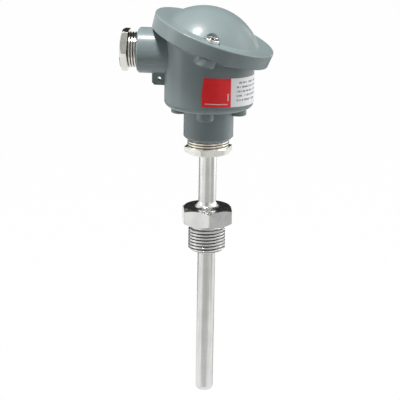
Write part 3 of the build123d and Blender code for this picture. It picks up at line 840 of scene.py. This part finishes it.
class PROBE_OT_process_connection(bpy.types.Operator):
    """Process connection with its hexagon, thread, welds, sockets and bore"""

    bl_idname = "probe.process_connection"
    bl_label = "Turn process connection"

    def execute(self, context):
        sizes, colours = context.scene.probe_sizes, context.scene.probe_colours
        angle = angles(PROCESS_SIDES, PROCESS_TURN)
        weld_high = PROCESS_HEX_HEIGHT + FILLET_HEIGHT
        blocks = [
            rings(angle, (TUBE_RADIUS, WELD_LOW)),
            low_weld_rows(angle),
            thread_rows(angle, PROCESS_BOTTOM, THREAD_TOP, PROCESS_RADIUS, sizes.process_pitch,
                        sizes.process_depth, PROCESS_CHAMFER, PROCESS_CHAMFER),
            rings(angle, (RELIEF_RADIUS, THREAD_TOP), (RELIEF_RADIUS, 0.0)),
            *hex_rows(angle, PROCESS_FLATS, PROCESS_TURN, 0.0, PROCESS_HEX_HEIGHT),
            fillet_rows(angle),
            rings(
                angle,
                (SOCKET_RADIUS, weld_high),
                (SOCKET_RADIUS, weld_high - SOCKET_LENGTH),
                (INSERT_BORE, weld_high - SOCKET_LENGTH),
                (INSERT_BORE, WELD_LOW + SOCKET_LENGTH),
                (SOCKET_RADIUS, WELD_LOW + SOCKET_LENGTH),
                (SOCKET_RADIUS, WELD_LOW),
            ),
        ]
        # Where the painted shade lies in the process thread's groove
        thread = {
            "axis": 2, "centre": (0.0, 0.0), "low": PROCESS_BOTTOM, "high": THREAD_TOP,
            "inner": PROCESS_RADIUS - sizes.process_depth,
            "outer": PROCESS_RADIUS - STEEL_GROOVE_SHADE_DEPTH * sizes.process_depth,
        }
        steel = turned_finish("process_steel_groove_shade", colours.steel, 0.18, thread=thread)
        piece = turned_piece("process_connection_form", blocks, angle, steel)
        soften(piece.data, UPRIGHT[2], PROCESS_BOTTOM + PROCESS_CHAMFER, THREAD_TOP - PROCESS_CHAMFER)
        hand_over(piece, "head", "process_connection")
        return {"FINISHED"}


class PROBE_OT_neck_fitting(bpy.types.Operator):
    """Neck fitting with its hexagon and collar thread"""

    bl_idname = "probe.neck_fitting"
    bl_label = "Turn neck fitting"

    def execute(self, context):
        sizes, colours = context.scene.probe_sizes, context.scene.probe_colours
        angle = angles(FITTING_SIDES, NECK_TURN)
        blocks = [
            rings(angle, (TUBE_BORE, NECK_HEX_LOW)),
            *hex_rows(angle, NECK_FLATS, NECK_TURN, NECK_HEX_LOW, NECK_HEX_HEIGHT, high_chamfer=False),
            thread_rows(angle, NECK_THREAD_LOW, NECK_TOP, NECK_RADIUS, sizes.fine_pitch, sizes.fine_depth,
                        NECK_CHAMFER),
            rings(angle, (TUBE_BORE, NECK_TOP)),
        ]
        # Where the painted shade lies in the neck thread's groove
        thread = {
            "axis": 2, "centre": (0.0, 0.0), "low": NECK_THREAD_LOW, "high": NECK_TOP,
            "inner": NECK_RADIUS - sizes.fine_depth, "outer": NECK_RADIUS,
        }
        plating = turned_finish("neck_plating_groove_shade", colours.nickel, 0.13, thread=thread, dark=NECK_GROOVE_SHADE)
        piece = turned_piece("neck_fitting_form", blocks, angle, plating)
        soften(piece.data, UPRIGHT[2], NECK_THREAD_LOW + NECK_CHAMFER, NECK_TOP - NECK_CHAMFER)
        hand_over(piece, "head", "neck_fitting")
        return {"FINISHED"}


class PROBE_OT_gland_screw(bpy.types.Operator):
    """Gland screw with its hexagon, thread and bore"""

    bl_idname = "probe.gland_screw"
    bl_label = "Turn gland screw"

    def execute(self, context):
        sizes, colours = context.scene.probe_sizes, context.scene.probe_colours
        angle = angles(FITTING_SIDES)
        blocks = [
            rings(angle, (GLAND_BORE, 0.0)),
            *hex_rows(angle, GLAND_FLATS, 0.0, 0.0, GLAND_HEX_HEIGHT, high_chamfer=False),
            thread_rows(angle, GLAND_HEX_HEIGHT, GLAND_LENGTH, GLAND_RADIUS, sizes.fine_pitch,
                        sizes.fine_depth, GLAND_CHAMFER),
            rings(angle, (GLAND_BORE, GLAND_LENGTH)),
        ]
        thread_low = GLAND_LOW.x + GLAND_HEX_HEIGHT
        # Where the painted shade lies in the gland thread's groove
        thread = {
            "axis": 0, "centre": (0.0, GLAND_AXIS), "low": thread_low, "high": GLAND_HIGH.x,
            "inner": GLAND_RADIUS - sizes.fine_depth, "outer": GLAND_RADIUS,
        }
        plating = turned_finish("gland_plating_groove_shade", colours.nickel, 0.14, thread=thread, dark=GLAND_GROOVE_SHADE)
        piece = turned_piece("gland_screw_form", blocks, angle, plating, (GLAND_LOW.x, 0.0, GLAND_AXIS),
                             ALONG_ENTRY)
        soften(piece.data, ALONG_ENTRY[2], thread_low + GLAND_CHAMFER, GLAND_HIGH.x - GLAND_CHAMFER)
        hand_over(piece, "gland_screw", "gland_screw")
        return {"FINISHED"}


class PROBE_OT_lid_screws(bpy.types.Operator):
    """Lid screws with a crossed recess in a domed head"""

    bl_idname = "probe.lid_screws"
    bl_label = "Make lid screws"

    def execute(self, context):
        plating = turned_finish("screw_plating", context.scene.probe_colours.nickel, 0.14)
        angle = angles(LID_SCREW_SIDES)
        blocks = lid_screw_rows(angle, context.scene.probe_sizes)
        middle = LID_ORIGIN + LID_SLOPE * SCREW_OFFSET + LID_NORMAL * SCREW_LIFT
        for name, side in (("front_lid_screw", -1.0), ("rear_lid_screw", 1.0)):
            place = middle + Vector((0.0, side * SCREW_REACH, 0.0))
            piece = turned_piece(f"{name}_form", blocks, angle, plating, tuple(place), ON_LID, closed=False)
            hand_over(piece, name, name)
        return {"FINISHED"}


class PROBE_OT_label(bpy.types.Operator):
    """Label film round the bowl"""

    bl_idname = "probe.label"
    bl_label = "Lay label"

    def execute(self, context):
        points, faces = label_film()
        piece = mesh_piece("head_label_print", points, faces, label_finish(context.scene.probe_colours))
        chart_label(piece.data)
        hand_over(piece, "head", "head_label")
        return {"FINISHED"}


class PROBE_OT_insert(bpy.types.Operator):
    """Measuring insert, gasket, gland ring and seal, and the springs"""

    bl_idname = "probe.insert"
    bl_label = "Finish insides"

    def execute(self, context):
        sizes, colours = context.scene.probe_sizes, context.scene.probe_colours
        plate_steel = turned_finish("plate_steel", colours.steel, 0.3)
        rubber = rubber_finish(colours)
        finishes = {
            "insert_plate": plate_steel,
            "insert_screws": plate_steel,
            "gland_ring": plate_steel,
            "terminal_clamps": turned_finish("terminal_brass", colours.brass, 0.25),
            "terminal_screws": turned_finish("screw_brass", colours.brass, 0.2, warm=colours.nickel),
            "lid_gasket": rubber,
            "gland_seal": rubber,
            "terminal_block": ceramic_finish(colours),
            "lead_wires": wire_finish(colours),
        }
        for name, material in finishes.items():
            dress(name, material)
        points, faces, caps = spring_coils(sizes)
        spring_steel = turned_finish("spring_wire", colours.steel, 0.24)
        piece = mesh_piece("insert_springs_coils", points, faces, spring_steel, caps)
        hand_over(piece, "head", "insert_springs")
        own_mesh(piece)
        return {"FINISHED"}


class PROBE_OT_stage(bpy.types.Operator):
    """Studio: camera, white surround, floor, lamps and dark cards"""

    bl_idname = "probe.stage"
    bl_label = "Set stage"

    def execute(self, context):
        scene = context.scene
        scene.view_settings.view_transform = "Standard"
        self.place_camera(scene)
        self.set_world(scene)
        self.lay_floor(scene)
        self.hang_lamps(scene)
        self.stand_cards(scene)
        return {"FINISHED"}

    def place_camera(self, scene):
        """Camera at the photograph's place, with its turn, focal length and small shift."""
        data = bpy.data.cameras.new("view")
        data.sensor_fit = "HORIZONTAL"
        data.sensor_width = SENSOR_WIDTH
        data.lens = FOCAL_PIXELS * SENSOR_WIDTH / PICTURE_WIDTH
        data.shift_x = (PICTURE_WIDTH / 2 - PRINCIPAL_X) / PICTURE_WIDTH
        data.shift_y = (PRINCIPAL_Y - PICTURE_WIDTH / 2) / PICTURE_WIDTH
        data.clip_start = 0.01
        data.clip_end = 50.0
        camera = bpy.data.objects.new("view", data)
        scene.collection.objects.link(camera)
        aside = Vector((math.sin(CAMERA_AZIMUTH), -math.cos(CAMERA_AZIMUTH), 0.0))
        forward = -aside * math.cos(CAMERA_PITCH) - Vector((0.0, 0.0, math.sin(CAMERA_PITCH)))
        level = Vector((math.cos(CAMERA_AZIMUTH), math.sin(CAMERA_AZIMUTH), 0.0))
        above = level.cross(forward)
        right = level * math.cos(CAMERA_ROLL) - above * math.sin(CAMERA_ROLL)
        up = above * math.cos(CAMERA_ROLL) + level * math.sin(CAMERA_ROLL)
        place = aside * CAMERA_DISTANCE + Vector((0.0, 0.0, CAMERA_HEIGHT))
        turn = Matrix((right, up, -forward)).transposed().to_4x4()
        camera.matrix_world = Matrix.Translation(place) @ turn
        scene.camera = camera

    def set_world(self, scene):
        """White surround for the eye and for reflections, and a softer one as light."""
        world = bpy.data.worlds.new("studio")
        world.use_nodes = True
        nodes = Nodes(world.node_tree)
        strength = nodes.rays(*SEEN_RAYS) * (1.0 - WORLD_LIGHT) + WORLD_LIGHT
        shade = nodes.node("ShaderNodeBackground", {}, {"Color": grey(1.0), "Strength": strength})
        nodes.node("ShaderNodeOutputWorld", {}, {"Surface": shade})
        scene.world = world

    def panel(self, scene, name, centre, size, towards, material):
        """Flat rectangle of the stage that faces a point."""
        turn = (Vector(towards) - Vector(centre)).to_track_quat("Z", "Y").to_matrix()
        corners = np.array([(-1, -1, 0), (1, -1, 0), (1, 1, 0), (-1, 1, 0)]) * (size[0] / 2, size[1] / 2, 0)
        mesh = bpy.data.meshes.new(name)
        mesh.from_pydata((corners @ np.array(turn).T + np.array(centre)).tolist(), [], [(0, 1, 2, 3)])
        mesh.materials.append(material)
        flat = bpy.data.objects.new(name, mesh)
        scene.collection.objects.link(flat)
        return flat

    def lay_floor(self, scene):
        """Pale floor that shows white, and keeps part of the shadow."""
        finish = Finish("floor")
        material = finish.glowing(finish.rays(*SEEN_RAYS) * FLOOR_WHITE, FLOOR_GREY, 1.0)
        overhead = (FLOOR_PLACE[0], FLOOR_PLACE[1], 1.0)
        self.panel(scene, "floor", FLOOR_PLACE, FLOOR_SIZE, overhead, material)

    def hang_lamps(self, scene):
        """Small round key overhead, soft boxes on the right and the left, and a strip behind."""
        for name, shape, place, size, share in LAMPS:
            data = bpy.data.lights.new(name, "AREA")
            data.shape = shape
            data.size = size[0]
            if shape == "RECTANGLE":
                data.size_y = size[1]
            data.energy = scene.probe_sizes.key_power * share
            lamp = bpy.data.objects.new(name, data)
            lamp.location = place
            lamp.rotation_mode = "QUATERNION"
            lamp.rotation_quaternion = (Vector(place) - LAMP_TARGET).to_track_quat("Z", "Y")
            scene.collection.objects.link(lamp)

    def stand_cards(self, scene):
        """Cards that shape the reflections: dark to all other light, and hidden from the camera."""
        for name, place, size, towards, glow in CARDS:
            finish = Finish(name)
            material = finish.glowing(finish.rays("Is Glossy Ray"), CARD_GREY, glow)
            card = self.panel(scene, name, place, size, towards, material)
            card.visible_camera = False


class PROBE_PT_panel(bpy.types.Panel):
    """The probe's steps and values"""

    bl_idname = "PROBE_PT_panel"
    bl_label = "Temperature probe"
    bl_space_type = "VIEW_3D"
    bl_region_type = "UI"
    bl_category = "Probe"

    def draw(self, context):
        for step in STEPS:
            self.layout.operator(step.bl_idname)
        for group in (context.scene.probe_sizes, context.scene.probe_colours):
            for name in group.bl_rna.properties.keys():
                if name not in ("name", "rna_type"):
                    self.layout.prop(group, name)


GROUPS = (ProbeColours, ProbeSizes)
STEPS = (PROBE_OT_castings, PROBE_OT_stem, PROBE_OT_process_connection, PROBE_OT_neck_fitting,
         PROBE_OT_gland_screw, PROBE_OT_lid_screws, PROBE_OT_label, PROBE_OT_insert, PROBE_OT_stage)


def register():
    """Add the classes to Blender, and the two groups of values to the scene."""
    for item in (*GROUPS, *STEPS, PROBE_PT_panel):
        bpy.utils.register_class(item)
    bpy.types.Scene.probe_colours = PointerProperty(type=ProbeColours)
    bpy.types.Scene.probe_sizes = PointerProperty(type=ProbeSizes)


def unregister():
    """Take the groups of values and the classes out again."""
    del bpy.types.Scene.probe_colours
    del bpy.types.Scene.probe_sizes
    for item in reversed((*GROUPS, *STEPS, PROBE_PT_panel)):
        bpy.utils.unregister_class(item)


def main():
    """Run every step in order."""
    register()
    for step in STEPS:
        group, name = step.bl_idname.split(".")
        result = getattr(getattr(bpy.ops, group), name)()
        if result != {"FINISHED"}:
            raise RuntimeError(f"{step.bl_label} did not finish")


if __name__ == "__main__":
    main()
